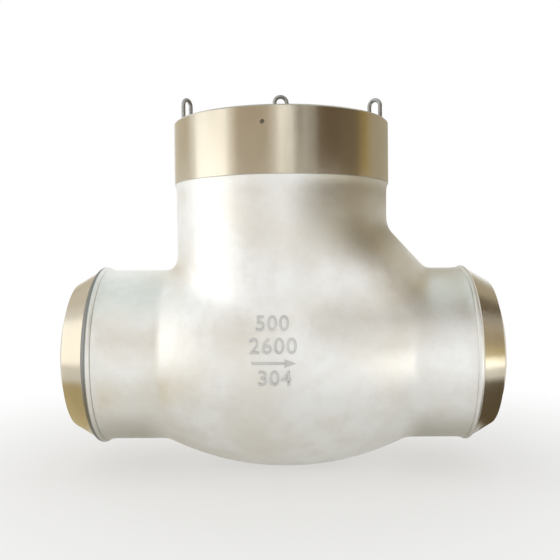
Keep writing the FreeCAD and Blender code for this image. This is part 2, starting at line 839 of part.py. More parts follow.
def hinge_bracket():
    """Foot on the casting's shelf with two ears that carry the bushes."""
    foot_top = z.shelf_height + z.bracket_thickness
    foot = slab("bracket_foot",
                (-z.bracket_back, -z.bracket_half_width, z.shelf_height),
                (-z.bracket_front, z.bracket_half_width, foot_top))
    half_ear = z.ear_thickness / 2
    middle = ear_inner + half_ear
    pieces = [foot]
    bores = []
    for side, sign in (("left", -1), ("right", 1)):
        near = ear_outer if sign > 0 else -ear_inner
        pieces.append(bracket_ear("bracket_ear_" + side, near))
        pieces.append(ear_eye("bracket_eye_" + side, z.ear_radius, middle * sign, half_ear))
        bores.append(ear_eye("bracket_bore_" + side, bush_radius + z.running_gap,
                             middle * sign, half_ear + z.overcut))
    for index, (x, y) in enumerate(bracket_bolt_places()):
        bores.append(cylinder("bracket_hole_%d" % index, z.bracket_bolt_radius + z.slip_gap,
                              z.shelf_height - z.overcut, foot_top + z.overcut, x=x, y=y))
    piece = cut("hinge_bracket", fused("bracket_solid", pieces), bores)
    place_on_run(piece)
    return piece


def bracket_bolts():
    foot_top = z.shelf_height + z.bracket_thickness
    head_bottom = foot_top + z.bracket_washer_thickness
    head_top = head_bottom + z.bracket_bolt_head_height
    bolts = []
    for index, (x, y) in enumerate(bracket_bolt_places()):
        shank = cylinder("bolt_shank_%d" % index, z.bracket_bolt_radius,
                         z.shelf_height - z.bracket_bolt_depth + z.side_gap, head_bottom, x=x, y=y)
        head = hexagon("bolt_head_%d" % index, z.bracket_bolt_head_radius,
                       head_bottom, head_top, x=x, y=y)
        bolts.append(fused("bolt_%d" % index, [shank, head]))
    piece = grouped("bracket_bolts", bolts)
    place_on_run(piece)
    return piece


def washer_group(name, places, hole, radius, bottom, thickness):
    washers = []
    for index, (x, y) in enumerate(places):
        disc_piece = cylinder("%s_disc_%d" % (name, index), radius, bottom, bottom + thickness, x=x, y=y)
        bore = cylinder("%s_bore_%d" % (name, index), hole, bottom - z.overcut,
                        bottom + thickness + z.overcut, x=x, y=y)
        washers.append(cut("%s_%d" % (name, index), disc_piece, [bore]))
    piece = grouped(name, washers)
    place_on_run(piece)
    return piece


# Bonnet and pressure seal

def bonnet():
    """Plug with a dished underside, a seal cone, and a hub drilled for the cover studs."""
    spigot = z.ledge_radius - z.bonnet_spigot_gap
    spigot_bottom = z.ledge_height - z.bonnet_spigot_depth
    dish_edge = spigot - z.bonnet_spigot_depth
    blank = turned("bonnet_turning", [
        (0, spigot_bottom + z.bonnet_dish),
        (dish_edge - z.bonnet_dish, spigot_bottom + z.bonnet_dish),
        (dish_edge, spigot_bottom),
        (spigot, spigot_bottom),
        (spigot, z.ledge_height),
        (closure_radius, z.ledge_height),
        (closure_radius, flange_top),
        (z.bonnet_hub_radius, flange_top + z.seal_cone_height),
        (z.bonnet_hub_radius, hub_top),
        (0, hub_top)])
    holes = []
    for index, (x, y) in enumerate(cover_stud_places()):
        holes.append(cylinder(
            "bonnet_hole_%d" % index, z.cover_stud_radius + z.running_gap,
            hub_top - z.cover_stud_depth - z.side_gap, hub_top + z.overcut, x=x, y=y))
    piece = cut("bonnet", blank, holes)
    place_on_run(piece)
    return piece


def seal_ring():
    """Wedge-shaped ring between the bonnet's cone and the neck bore."""
    cone_slope = z.seal_cone_height / (closure_radius - z.bonnet_hub_radius)
    foot = seal_bottom + (z.slip_gap + z.seal_ring_lip) * cone_slope
    piece = turned("seal_ring", [
        (closure_radius - z.seal_ring_lip, foot),
        (closure_radius, foot),
        (closure_radius, seal_top),
        (hub_gap_radius, seal_top),
        (hub_gap_radius, seal_bottom + z.seal_cone_height)])
    place_on_run(piece)
    return piece


def spacer_ring():
    piece = ring("spacer_ring", hub_gap_radius, closure_radius, seal_top, segment_bottom)
    place_on_run(piece)
    return piece


def thrust_segment(number):
    """A quarter of the thrust ring, short of its neighbours by the segment gap."""
    name = "thrust_segment_%d" % number
    inner = hub_gap_radius
    outer = z.groove_radius - z.slip_gap
    arc = doc.addObject("Part::Cylinder", name + "_arc")
    bore = doc.addObject("Part::Cylinder", name + "_bore")
    middle = z.knockout_turn + 90 * (number - 1)
    gap_turn = 90 - z.segment_gap / z.groove_radius * (180 / math.pi)
    for rod, radius, low, high in (
            (arc, outer, segment_bottom, groove_top),
            (bore, inner, segment_bottom - z.overcut, groove_top + z.overcut)):
        bind(rod, "Radius", radius)
        bind(rod, "Height", high - low)
        place(rod, height=low)
    bind(arc, "Angle", gap_turn)
    piece = cut(name, arc, [bore])
    place(piece, height=axis_height, turn=middle - gap_turn / 2)
    return piece


def cover_stud_places():
    places = []
    count = int(z.cover_stud_count.value)
    for index in range(count):
        turn = as_size((index + 0.5) * 360) / z.cover_stud_count
        places.append((cos(turn) * z.cover_stud_circle, sin(turn) * z.cover_stud_circle))
    return places


def retainer_plate():
    """Plate on the thrust segments that holds the bonnet up through its studs."""
    plate = turned("retainer_turning", [
        (0, groove_top), (z.retainer_radius, groove_top),
        (z.retainer_radius, retainer_top - z.rim_chamfer),
        (z.retainer_radius - z.rim_chamfer, retainer_top),
        (0, retainer_top)])
    holes = []
    for index, (x, y) in enumerate(cover_stud_places()):
        holes.append(cylinder("retainer_hole_%d" % index, z.cover_stud_radius + z.retainer_hole_gap,
                              groove_top - z.overcut, retainer_top + z.overcut, x=x, y=y))
    for side in (-1, 1):
        holes.append(cylinder(
            "retainer_socket_%d" % (side + 1), z.loop_bar_radius + z.running_gap,
            retainer_top - z.loop_socket_depth, retainer_top + z.overcut,
            x=cos(z.centre_loop_turn) * z.loop_bend_radius * side,
            y=sin(z.centre_loop_turn) * z.loop_bend_radius * side))
    piece = cut("retainer_plate", plate, holes)
    place_on_run(piece)
    return piece


def cover_studs():
    washer_top = retainer_top + z.cover_washer_thickness
    stud_end = washer_top + z.cover_nut_height + z.cover_stud_tail
    studs = [cylinder("cover_stud_%d" % index, z.cover_stud_radius,
                      hub_top - z.cover_stud_depth, stud_end, x=x, y=y)
             for index, (x, y) in enumerate(cover_stud_places())]
    piece = grouped("cover_studs", studs)
    place_on_run(piece)
    return piece


def cover_nuts():
    bottom = retainer_top + z.cover_washer_thickness
    top = bottom + z.cover_nut_height
    nuts = []
    for index, (x, y) in enumerate(cover_stud_places()):
        block = hexagon("cover_nut_block_%d" % index, z.cover_nut_radius, bottom, top, x=x, y=y)
        bore = cylinder("cover_nut_bore_%d" % index, z.cover_stud_radius + z.running_gap,
                        bottom - z.overcut, top + z.overcut, x=x, y=y)
        nuts.append(cut("cover_nut_%d" % index, block, [bore]))
    piece = grouped("cover_nuts", nuts)
    place_on_run(piece)
    return piece


# Lifting loops

def lifting_loop(name, x, turn, foot, height):
    """A round bar bent into a loop, with both legs standing in blind sockets."""
    body = doc.addObject("Part::Feature", name)
    body.Label = name
    bend = z.loop_bend_radius.value
    low = -z.loop_socket_depth.value
    crown = height.value - z.loop_bar_radius.value
    shoulder_height = crown - bend
    left_foot = FreeCAD.Vector(-bend, 0, low)
    left_top = FreeCAD.Vector(-bend, 0, shoulder_height)
    right_top = FreeCAD.Vector(bend, 0, shoulder_height)
    right_foot = FreeCAD.Vector(bend, 0, low)
    path = Part.Wire([
        Part.makeLine(left_foot, left_top),
        Part.Arc(left_top, FreeCAD.Vector(0, 0, crown), right_top).toShape(),
        Part.makeLine(right_top, right_foot)])
    section = Part.Wire(Part.Circle(
        left_foot, FreeCAD.Vector(0, 0, 1), z.loop_bar_radius.value).toShape())
    body.Shape = path.makePipeShell([section], True, True)
    place(body, x=x, height=axis_height + foot, turn=turn)
    return body


def build_all():
    washer_hole = z.bracket_bolt_radius + z.slip_gap
    foot_top = z.shelf_height + z.bracket_thickness
    pieces = [
        casting(), seat_ring(), disc(), disc_washer(), disc_nut(), disc_cotter(),
        hinge_arm(), hinge_pin(),
        hinge_bush("hinge_bush_front", ear_inner, ear_outer),
        hinge_bush("hinge_bush_rear", -ear_outer, -ear_inner),
        hinge_clips(), hinge_bracket(), bracket_bolts(),
        washer_group("bracket_washers", bracket_bolt_places(), washer_hole,
                     z.bracket_washer_radius, foot_top, z.bracket_washer_thickness),
        bonnet(), seal_ring(), spacer_ring()]
    pieces += [thrust_segment(number) for number in range(1, 5)]
    pieces += [
        retainer_plate(), cover_studs(), cover_nuts(),
        washer_group("cover_washers", cover_stud_places(), z.cover_stud_radius + z.slip_gap,
                     z.cover_washer_radius, retainer_top, z.cover_washer_thickness),
        lifting_loop("lifting_loop_left", -z.loop_circle, z.left_loop_turn, rim_height,
                     z.left_loop_height),
        lifting_loop("lifting_loop_right", z.loop_circle, z.right_loop_turn, rim_height,
                     z.right_loop_height),
        lifting_loop("lifting_loop_centre", as_size(0), z.centre_loop_turn, retainer_top,
                     z.centre_loop_height)]
    return pieces


def check(pieces):
    doc.recompute()
    for item in doc.Objects:
        for fault in ("Invalid", "Error"):
            if fault in item.State:
                raise RuntimeError("%s: %s" % (item.Name, item.State))
    for piece in pieces:
        if piece.Shape.isNull() or not piece.Shape.isValid():
            raise RuntimeError("%s has no sound shape" % piece.Label)


def write(pieces):
    os.makedirs("parts", exist_ok=True)
    for piece in pieces:
        piece.Shape.exportStep(os.path.join("parts", piece.Label + ".step"))
        print(piece.Label, len(piece.Shape.Solids), round(piece.Shape.Volume / 1000), "cm3")


subparts = build_all()
check(subparts)
write(subparts)
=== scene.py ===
import json
import math

import bmesh
import bpy
from mathutils import Matrix, Vector
from mathutils.bvhtree import BVHTree


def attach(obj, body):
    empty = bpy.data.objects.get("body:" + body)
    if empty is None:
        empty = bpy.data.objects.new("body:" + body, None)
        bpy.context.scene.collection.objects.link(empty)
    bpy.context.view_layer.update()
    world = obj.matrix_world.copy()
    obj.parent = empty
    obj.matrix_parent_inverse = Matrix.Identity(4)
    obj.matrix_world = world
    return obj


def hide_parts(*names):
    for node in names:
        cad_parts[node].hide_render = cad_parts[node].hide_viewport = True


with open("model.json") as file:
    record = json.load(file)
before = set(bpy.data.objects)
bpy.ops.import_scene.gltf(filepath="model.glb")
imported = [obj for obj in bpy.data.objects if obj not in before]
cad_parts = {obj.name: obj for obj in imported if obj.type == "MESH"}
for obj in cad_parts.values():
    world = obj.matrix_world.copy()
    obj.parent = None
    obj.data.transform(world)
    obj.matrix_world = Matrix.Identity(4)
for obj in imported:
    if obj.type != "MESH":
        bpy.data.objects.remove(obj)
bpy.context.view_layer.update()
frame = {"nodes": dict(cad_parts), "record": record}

NODES = frame["nodes"]

# Levels and reaches of the casting in metres, worked out from the outlet's weld end
OUTLET = next(mount for mount in frame["record"]["mounts"] if mount["name"] == "outlet_weld_end")
END, _, RUN_AXIS = OUTLET["pos_m"]
BORE = OUTLET["dims"]["r_mm"] / 1000
BORE_START = 0.24
BAND_FOOT = RUN_AXIS + 0.592
SHOULDER_TOP = RUN_AXIS + 0.454
TAPER_FOOT = END - 0.0947
INLET_BEAD_FOOT = END - 0.1247
OUTLET_LIP_FOOT = END - 0.1147
INLET_BEAD_FRONT = INLET_BEAD_FOOT + 0.014

# The circles where the cast outside meets a machined step, as an axis and a level on it
BAND_SEAM = ("z", BAND_FOOT)
BEAD_SEAM = ("x", -INLET_BEAD_FOOT)
LIP_SEAM = ("x", OUTLET_LIP_FOOT)
SEAMS = (BAND_SEAM, BEAD_SEAM, LIP_SEAM)
LEVEL_SLACK = 1e-4
NECK_CIRCLE_BETWEEN = (0.35, 0.3695)
TUBE_CIRCLES_BEYOND = 0.25
AXES = {"x": Vector((1.0, 0.0, 0.0)), "z": Vector((0.0, 0.0, 1.0))}

# How the cast skin is made even and soft
SKIN_CELL = 0.010
SKIN_PASSES = 5
CORNER_REACH, CORNER_HALF_HEIGHT, CORNER_PASSES = 0.2, 0.045, 16
CREASE_ANGLE = math.radians(24)

# The shoulder's flanks, ellipses seen from the front: x and z of the middle, half width, half height
FLANK_ABOVE = (0.20, 0.72, 0.16, 0.18)
FLANK_BELOW = (0.31, 0.56, 0.24, 0.17)
FLANK_START, FLANK_GROWTH = 0.22, 0.12
FLANK_PASSES = ((1.0, 14), (0.85, 24), (0.7, 50))

# Raised marks
FIGURE_HALF_DEPTH = 0.0028
FIGURE_ROUNDING = 0.0016
FIGURE_THINNING = 0.0010
CAPITAL_SHARE = 0.7
BAR_HALF_WIDTH = 0.0035
HEAD_HALF_WIDTH = 0.013
HEAD_LENGTH = 0.036
HEAD_NOTCH = 0.007
BAR_STOP = 0.030
ARROW_BURIED = 0.003
ARROW_DEPTH = 0.0085
ARROW_ROUNDING = 0.0012
LONGEST_FLAT_EDGE = 0.05

# The painted dark reflection on the neck and the painted shade under the tubes, the casting's grain,
# turning marks in radians a metre, and the studs' thread
DARK_REFLECTION_X, DARK_REFLECTION_Z = 0.25, 0.90
TUBE_START = 0.43
TUBE_UNDERSIDE = -0.20
SAND_GRAIN = 260.0
LATHE_WAVES = 5200
FACING_WAVES = 4200
THREAD_PITCH = 0.003

# The studio, in metres; a card's section is its reach from the neck's axis and its height
FLOOR_RADIUS = 24.0
FLOOR_GLOW, FLOOR_GLOW_SEEN = 0.26, 0.24
WHITE_FROM, WHITE_WIDTH = 1.2, 1.8
DIFFUSE_DAYLIGHT = 0.55
FAR = 3.2
CLOSE = 1.05
HIGH = ((FAR, 1.2), (FAR, 2.4))
LOWER = ((FAR, 1.08), (FAR, 2.5))
LOW_CORNER = ((FAR, 0.65), (FAR, 1.7))
FOOT = ((FAR, 0.01), (FAR, 0.65))
NEAR = ((CLOSE, 0.98), (CLOSE, 1.9))
LEANING = ((FAR, 1.7), (FAR, 2.5), (2.3, 3.3))
FLAT = ((0.80, 0.004), (1.5, 0.004))
CEILING = ((0.02, 3.6), (2.4, 3.5))

# Cards seen in the metal: name, start and turn in degrees, section and colour
CARDS = (
    ("tan_card", -50, 45, HIGH, (0.46, 0.36, 0.24)),
    ("russet_card", 12, 14, LOWER, (0.15, 0.12, 0.08)),
    ("brown_card", 27, 27, NEAR, (0.15, 0.10, 0.05)),
    ("near_brown_card", 54, 22, NEAR, (0.17, 0.125, 0.07)),
    ("olive_card", 76, 13, NEAR, (0.44, 0.32, 0.11)),
    ("near_tan_card", 89, 71, NEAR, (0.46, 0.41, 0.31)),
    ("brown_corner_card", 62, 24, LOW_CORNER, (0.45, 0.36, 0.22)),
    ("dark_card", 62, 44, LEANING, (0.13, 0.09, 0.045)),
    ("side_card", 106, 48, LEANING, (0.50, 0.44, 0.33)),
    ("pale_card", -150, 46, HIGH, (0.70, 0.64, 0.52)),
    ("gold_card", 64, 34, FOOT, (0.66, 0.55, 0.27)),
    ("brown_floor_card", 66, 74, FLAT, (0.10, 0.07, 0.03)),
    ("gold_floor_card", -140, 90, FLAT, (0.60, 0.50, 0.28)),
    ("sky_card", 0, 360, CEILING, (0.66, 0.72, 0.70)),
)

# What the lamps point at, and the camera, whose turns are in degrees
VALVE_MIDDLE = (0.0, 0.0, 0.6)
OUTLET_TUBE = (0.3, -0.1, 0.36)
CAMERA_PLACE = (0.0355, -2.6188, 0.7121)
CAMERA_TURN, CAMERA_TILT, CAMERA_ROLL = 0.96, 88.68, -0.55
CAMERA_LENS, CAMERA_SENSOR = 47.15, 36.0


# Shader values and nodes

class Value:
    """A number that varies over the surface; Python expressions on it add Math nodes."""

    def __init__(self, finish, socket):
        self.finish = finish
        self.socket = socket

    def join(self, operation, *numbers):
        return self.finish.add("ShaderNodeMath", {"operation": operation}, dict(enumerate(numbers)))

    def __add__(self, other):
        return self.join("ADD", self, other)

    __radd__ = __add__

    def __sub__(self, other):
        return self.join("SUBTRACT", self, other)

    def __rsub__(self, other):
        return self.join("SUBTRACT", other, self)

    def __mul__(self, other):
        return self.join("MULTIPLY", self, other)

    __rmul__ = __mul__

    def root(self):
        return self.join("SQRT", self)

    def size(self):
        return self.join("ABSOLUTE", self)

    def wave(self):
        return self.join("SINE", self)

    def higher(self, other):
        return self.join("MAXIMUM", self, other)

    def past(self, edge, width):
        """0 below the edge and 1 above it, with a soft step of the given width."""
        return self.finish.add(
            "ShaderNodeMapRange", {"interpolation_type": "SMOOTHSTEP"},
            {"Value": self, "From Min": edge - width / 2, "From Max": edge + width / 2})


class Finish:
    """One material, built from nodes on object coordinates."""

    def __init__(self, name):
        self.material = bpy.data.materials.new(name)
        self.material.use_nodes = True
        self.tree = self.material.node_tree
        self.shader = self.tree.nodes["Principled BSDF"]
        self.place = self.add("ShaderNodeTexCoord", {}, {}, "Object")
        parts = self.tree.nodes.new("ShaderNodeSeparateXYZ")
        self.tree.links.new(self.place.socket, parts.inputs[0])
        self.x, self.y, self.z = (Value(self, socket) for socket in parts.outputs)

    def give(self, socket, given):
        """Link a value to a socket, or set a number or colour on it."""
        if isinstance(given, Value):
            self.tree.links.new(given.socket, socket)
        else:
            socket.default_value = given

    def add(self, kind, settings, inputs, output=0):
        node = self.tree.nodes.new(kind)
        for name, setting in settings.items():
            setattr(node, name, setting)
        for name, given in inputs.items():
            self.give(node.inputs[name], given)
        return Value(self, node.outputs[output])

    def feed(self, name, given):
        self.give(self.shader.inputs[name], given)

    def noise(self, scale, detail, roughness, place=None):
        return self.add("ShaderNodeTexNoise", {}, {
            "Vector": place or self.place, "Scale": scale, "Detail": detail, "Roughness": roughness})

    def blend(self, share, first, second):
        """A colour that goes from the first to the second as share goes from 0 to 1."""
        return self.add("ShaderNodeMix", {"data_type": "RGBA"}, {0: share, 6: first, 7: second}, 2)

    def stretched(self, x, y, z):
        return self.add("ShaderNodeMapping", {}, {"Vector": self.place, "Scale": (x, y, z)})

    def bump(self, height, distance):
        return self.add("ShaderNodeBump", {}, {"Height": height, "Distance": distance, "Strength": 1.0})


def paint(colour, share=1.0):
    """A colour for a socket, darkened to a share of itself."""
    return tuple(channel * share for channel in colour) + (1.0,)


# Finishes

def casting_finish():
    """Blasted casting with a turned neck band and turned weld ends."""
    finish = Finish("blasted_casting")
    x, y, z = finish.x, finish.y, finish.z
    height = z - RUN_AXIS
    from_run = (y * y + height * height).root()
    band = z.past(BAND_FOOT + 0.001, 0.002)
    ends = x.size().past(TAPER_FOOT + 0.001, 0.002)
    bore = (1 - from_run.past(BORE + 0.002, 0.001)) * x.size().past(BORE_START, 0.01)
    turned = band.higher(ends).higher(bore)
    bead = (0 - x).past(INLET_BEAD_FRONT, 0.005) * (1 - ends)

    patches = finish.noise(3.2, 4.0, 0.6)
    mottle = finish.noise(16.0, 5.0, 0.65)
    grain = finish.noise(SAND_GRAIN, 3.0, 0.6)
    pale = paint((0.93, 0.935, 0.92))
    tan = paint((0.84, 0.815, 0.75))
    cast = finish.blend(patches.past(0.5, 0.35), tan, pale)
    cast = finish.blend(mottle.past(0.56, 0.3) * 0.4, cast, paint((0.80, 0.785, 0.74)))
    # painted dark reflection: a darker olive patch on the neck's right front and the shoulder, standing
    # in for dark surroundings seen in the metal
    aside, above = (x - DARK_REFLECTION_X) * 5.0, (z - DARK_REFLECTION_Z) * 5.2
    painted_dark_reflection = 1 - (aside * aside + above * above).root().past(0.85, 0.8)
    cast = finish.blend(painted_dark_reflection * (patches * 0.4 + 0.65), cast, paint((0.48, 0.44, 0.35)))
    # painted shade: the undersides of both tubes darkened towards a brownish grey
    painted_shade_under_tubes = x.size().past(TUBE_START, 0.10) * (1 - height.past(TUBE_UNDERSIDE, 0.14))
    cast = finish.blend(painted_shade_under_tubes * (patches * 0.4 + 0.45), cast, paint((0.49, 0.46, 0.37)))
    cast = finish.blend(bead * 0.9, cast, paint((0.17, 0.175, 0.165)))

    streaks = finish.noise(1.0, 3.0, 0.6, finish.stretched(5, 5, 1.2))
    # the turned steel's tan tint is partly painted warm reflection and partly the steel's own tone
    steel = finish.blend(streaks.past(0.5, 0.3), paint((0.56, 0.50, 0.385)), paint((0.63, 0.57, 0.455)))
    finish.feed("Base Color", finish.blend(turned, cast, steel))
    finish.feed("Metallic", 0.9)

    scuffs = finish.noise(40.0, 4.0, 0.7)
    cast_rough = 0.42 + patches * 0.10 - mottle * 0.04
    turned_rough = 0.15 + scuffs * 0.09
    finish.feed("Roughness", cast_rough * (1 - turned) + turned_rough * turned)
    finish.feed("Coat Weight", turned * 0.4)
    finish.feed("Coat Roughness", 0.15)

    lathe = (band * (z * LATHE_WAVES).wave() + ends * (x * LATHE_WAVES).wave()) * 0.5
    cast_height = grain * 0.35 + mottle * 1.2 + patches * 3.0
    relief = cast_height * (1 - turned) + lathe * 0.05
    finish.feed("Normal", finish.bump(relief, 0.001))
    return finish.material


def turned_finish(name, colour, roughness=0.28):
    """Lathe-turned steel with fine rings about the neck's axis."""
    finish = Finish(name)
    from_axis = (finish.x * finish.x + finish.y * finish.y).root()
    cloud = finish.noise(9.0, 4.0, 0.6)
    finish.feed("Base Color", finish.blend(cloud.past(0.5, 0.4), paint(colour, 0.82), paint(colour)))
    finish.feed("Metallic", 1.0)
    finish.feed("Roughness", roughness + finish.noise(30.0, 3.0, 0.6) * 0.12)
    rings = (from_axis * FACING_WAVES).wave() * 0.5 + finish.noise(120.0, 2.0, 0.5) * 0.6
    finish.feed("Normal", finish.bump(rings, 0.00008))
    return finish.material


def cast_finish(name, colour):
    """Plain blasted casting, for the inner pieces and the raised marks."""
    finish = Finish(name)
    cloud = finish.noise(14.0, 4.0, 0.6)
    finish.feed("Base Color", finish.blend(cloud.past(0.5, 0.35), paint(colour, 0.85), paint(colour)))
    finish.feed("Metallic", 0.9)
    finish.feed("Roughness", 0.46 + cloud * 0.12)
    finish.feed("Normal", finish.bump(finish.noise(SAND_GRAIN, 3.0, 0.6) + cloud * 3.0, 0.0004))
    return finish.material


def bar_finish(name, colour, roughness):
    """Dark drawn or forged steel with scale and rubbed spots."""
    finish = Finish(name)
    scale = finish.noise(60.0, 5.0, 0.65)
    rubbed = finish.noise(22.0, 3.0, 0.6).past(0.6, 0.12)
    base = finish.blend(scale.past(0.5, 0.4), paint(colour, 0.7), paint(colour))
    finish.feed("Base Color", finish.blend(rubbed * 0.5, base, paint((0.51, 0.50, 0.484))))
    finish.feed("Metallic", 0.95)
    finish.feed("Roughness", roughness + scale * 0.16 - rubbed * 0.08)
    finish.feed("Normal", finish.bump(scale, 0.0003))
    return finish.material


def threaded_finish(name, colour):
    """Stud steel whose thread is raised ridges along the upright."""
    finish = Finish(name)
    soil = finish.noise(90.0, 3.0, 0.6)
    finish.feed("Base Color", finish.blend(soil, paint(colour, 0.6), paint(colour)))
    finish.feed("Metallic", 1.0)
    finish.feed("Roughness", 0.34 + soil * 0.12)
    finish.feed("Normal", finish.bump((finish.z * (2 * math.pi / THREAD_PITCH)).wave(), 0.0009))
    return finish.material


def dress(material, *names):
    for name in names:
        mesh = NODES[name].data
        mesh.materials.clear()
        mesh.materials.append(material)


def dress_frame():
    """Give every solid its finish, and return the casting's."""
    casting = casting_finish()
    dress(casting, "body")
    dress(cast_finish("inner_casting", (0.62, 0.61, 0.57)), "hinge_arm", "hinge_bracket")
    dress(turned_finish("turned_forging", (0.66, 0.65, 0.61)),
          "disc", "bonnet", "hinge_pin", "spacer_ring",
          "thrust_segment_1", "thrust_segment_2", "thrust_segment_3", "thrust_segment_4")
    dress(turned_finish("faced_plate", (0.55, 0.54, 0.51), 0.34), "retainer_plate")
    dress(turned_finish("ground_facing", (0.74, 0.73, 0.71), 0.18),
          "seat_ring", "hinge_bush_front", "hinge_bush_rear")
    dress(turned_finish("plated_seal", (0.80, 0.80, 0.80), 0.3), "seal_ring")
    dress(bar_finish("bolt_steel", (0.42, 0.42, 0.41), 0.34),
          "disc_washer", "disc_nut", "bracket_bolts", "bracket_washers", "cover_nuts", "cover_washers")
    dress(threaded_finish("stud_steel", (0.45, 0.45, 0.44)), "cover_studs")
    dress(bar_finish("loop_bar", (0.48, 0.48, 0.46), 0.30),
          "lifting_loop_left", "lifting_loop_right", "lifting_loop_centre",
          "hinge_clips", "disc_cotter")
    return casting


# The casting, its sand-cast outside softened and its machined faces kept

def at_level(points, reach, level):
    """True where the named coordinate of every point is at the level."""
    return all(abs(getattr(point, reach) - level) < LEVEL_SLACK for point in points)


def on_seam(point):
    """True on the three circles where the cast outside meets a machined step."""
    from_neck = math.hypot(point.x, point.y)
    from_run = math.hypot(point.y, point.z - RUN_AXIS)
    at_band = at_level([point], *BAND_SEAM)
    at_end = at_level([point], *BEAD_SEAM) or at_level([point], *LIP_SEAM)
    inner, outer = NECK_CIRCLE_BETWEEN
    return (at_band and inner < from_neck < outer) or (at_end and from_run > TUBE_CIRCLES_BEYOND)


def joined_to(start, stops):
    """Every face that can be walked to from a vertex without crossing a stopping edge."""
    found = set(start.link_faces)
    waiting = list(found)
    while waiting:
        for edge in waiting.pop().edges:
            if stops(edge):
                continue
            for face in edge.link_faces:
                if face not in found:
                    found.add(face)
                    waiting.append(face)
    return found


def lowest(form):
    return min(form.verts, key=lambda corner: corner.co.z)


def soften(form, chosen, passes):
    for _ in range(passes):
        bmesh.ops.smooth_vert(form, verts=chosen, factor=0.5, use_axis_x=True, use_axis_y=True,
                              use_axis_z=True)


def from_flank(point, flank):
    """Distance from the middle of a flank seen from the front, 1 on its edge."""
    middle_x, middle_z, half_width, half_height = flank
    return math.hypot((point.x - middle_x) / half_width, (point.z - middle_z) / half_height)


def beside_shoulder(point, share):
    """Where the slanted shoulder's flanks run into the neck above and the chamber below."""
    near = min(from_flank(point, FLANK_ABOVE), from_flank(point, FLANK_BELOW))
    return near < share and abs(point.y) > FLANK_START - FLANK_GROWTH * share


def atop_shoulder(point):
    """The corner where the slope leaves the neck."""
    return point.x > CORNER_REACH and abs(point.z - SHOULDER_TOP) < CORNER_HALF_HEIGHT


def even_faces(source):
    """A mesh of small even faces over the outside of the given one."""
    holder = bpy.data.objects.new("cast_source", source)
    bpy.context.scene.collection.objects.link(holder)
    remesh = holder.modifiers.new("even_faces", "REMESH")
    remesh.mode = "VOXEL"
    remesh.voxel_size = SKIN_CELL
    graph = bpy.context.evaluated_depsgraph_get()
    even = bpy.data.meshes.new_from_object(holder.evaluated_get(graph), depsgraph=graph)
    bpy.data.objects.remove(holder)
    return even


def cast_outside(source):
    """The outside between the machined steps, with soft blends."""
    even = even_faces(source)
    form = bmesh.new()
    form.from_mesh(even)
    soften(form, form.verts, SKIN_PASSES)
    for share, passes in FLANK_PASSES:
        soften(form, [corner for corner in form.verts if beside_shoulder(corner.co, share)], passes)
    soften(form, [corner for corner in form.verts if atop_shoulder(corner.co)], CORNER_PASSES)
    for reach, level in SEAMS:
        bmesh.ops.bisect_plane(form, geom=form.verts[:] + form.edges[:] + form.faces[:],
                               plane_co=AXES[reach] * level,
                               plane_no=AXES[reach] * math.copysign(1.0, level), clear_outer=True)
    kept = joined_to(lowest(form), lambda edge: False)
    bmesh.ops.delete(form, geom=[face for face in form.faces if face not in kept], context="FACES")
    form.to_mesh(even)
    form.free()
    return even


def turned_normal(face, corner):
    """The normal that a lathe gives the band or a weld end; zero leaves the corner as it is."""
    if face.center.z > BAND_FOOT and abs(face.normal.z) < 0.1:
        outward = Vector((corner.x, corner.y, 0.0))
        return outward.normalized() * math.copysign(1.0, outward.dot(face.normal))
    if abs(face.center.x) > TAPER_FOOT:
        along = face.normal.x
        outward = Vector((0.0, corner.y, corner.z - RUN_AXIS)).normalized()
        around = math.copysign(math.sqrt(max(0.0, 1.0 - along * along)), outward.dot(face.normal))
        return Vector((along, 0.0, 0.0)) + outward * around
    return Vector()


def true_turned_normals(mesh):
    """Exact normals on the machined faces, whose long thin triangles would shade in streaks."""
    corners = []
    for face in mesh.polygons:
        for number in face.loop_indices:
            place = mesh.vertices[mesh.loops[number].vertex_index].co
            corners.append(turned_normal(face, place))
    mesh.normals_split_custom_set(corners)


def keep_seams_crisp(mesh):
    """Sharp edges all round the seams, so that the cast skin shades by its own faces up to them."""
    for edge in mesh.edges:
        ends = [mesh.vertices[number].co for number in edge.vertices]
        if any(at_level(ends, *seam) for seam in SEAMS):
            edge.use_edge_sharp = True


def softened_casting(material):
    """The body's machined steps and inside as they are, joined to a soft cast skin."""
    form = bmesh.new()
    form.from_mesh(NODES["body"].data)
    bmesh.ops.remove_doubles(form, verts=form.verts, dist=2e-5)
    source = bpy.data.meshes.new("cast_source")
    form.to_mesh(source)
    outside = joined_to(lowest(form), lambda edge: all(on_seam(end.co) for end in edge.verts))
    bmesh.ops.delete(form, geom=list(outside), context="FACES")
    form.from_mesh(cast_outside(source))
    rims = [edge for edge in form.edges if edge.is_boundary]
    for seam in SEAMS:
        bmesh.ops.bridge_loops(
            form, edges=[edge for edge in rims if at_level([end.co for end in edge.verts], *seam)])
    mesh = bpy.data.meshes.new("casting")
    form.to_mesh(mesh)
    form.free()
    mesh.shade_smooth()
    mesh.set_sharp_from_angle(angle=CREASE_ANGLE)
    keep_seams_crisp(mesh)
    true_turned_normals(mesh)
    piece = keep_piece("casting", mesh, material)
    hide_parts("body")
    return mesh


def keep_piece(name, mesh, material):
    mesh.name = name
    mesh.materials.clear()
    mesh.materials.append(material)
    piece = bpy.data.objects.new(name, mesh)
    bpy.context.scene.collection.objects.link(piece)
    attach(piece, "root")
    return piece


# Raised marks cast on the front of the chamber

def surface_of(mesh):
    form = bmesh.new()
    form.from_mesh(mesh)
    tree = BVHTree.FromBMesh(form)
    form.free()
    return tree


def wrap_on_front(mesh, surface, x, z, lift):
    """Stand a flat mesh up at x and z and let it follow the casting's front."""
    for corner in mesh.vertices:
        across, up, out = corner.co
        start = Vector((x + across, -1.0, z + up))
        hit = surface.ray_cast(start, Vector((0.0, 1.0, 0.0)))[0]
        corner.co = (start.x, hit.y - out - lift, start.z)


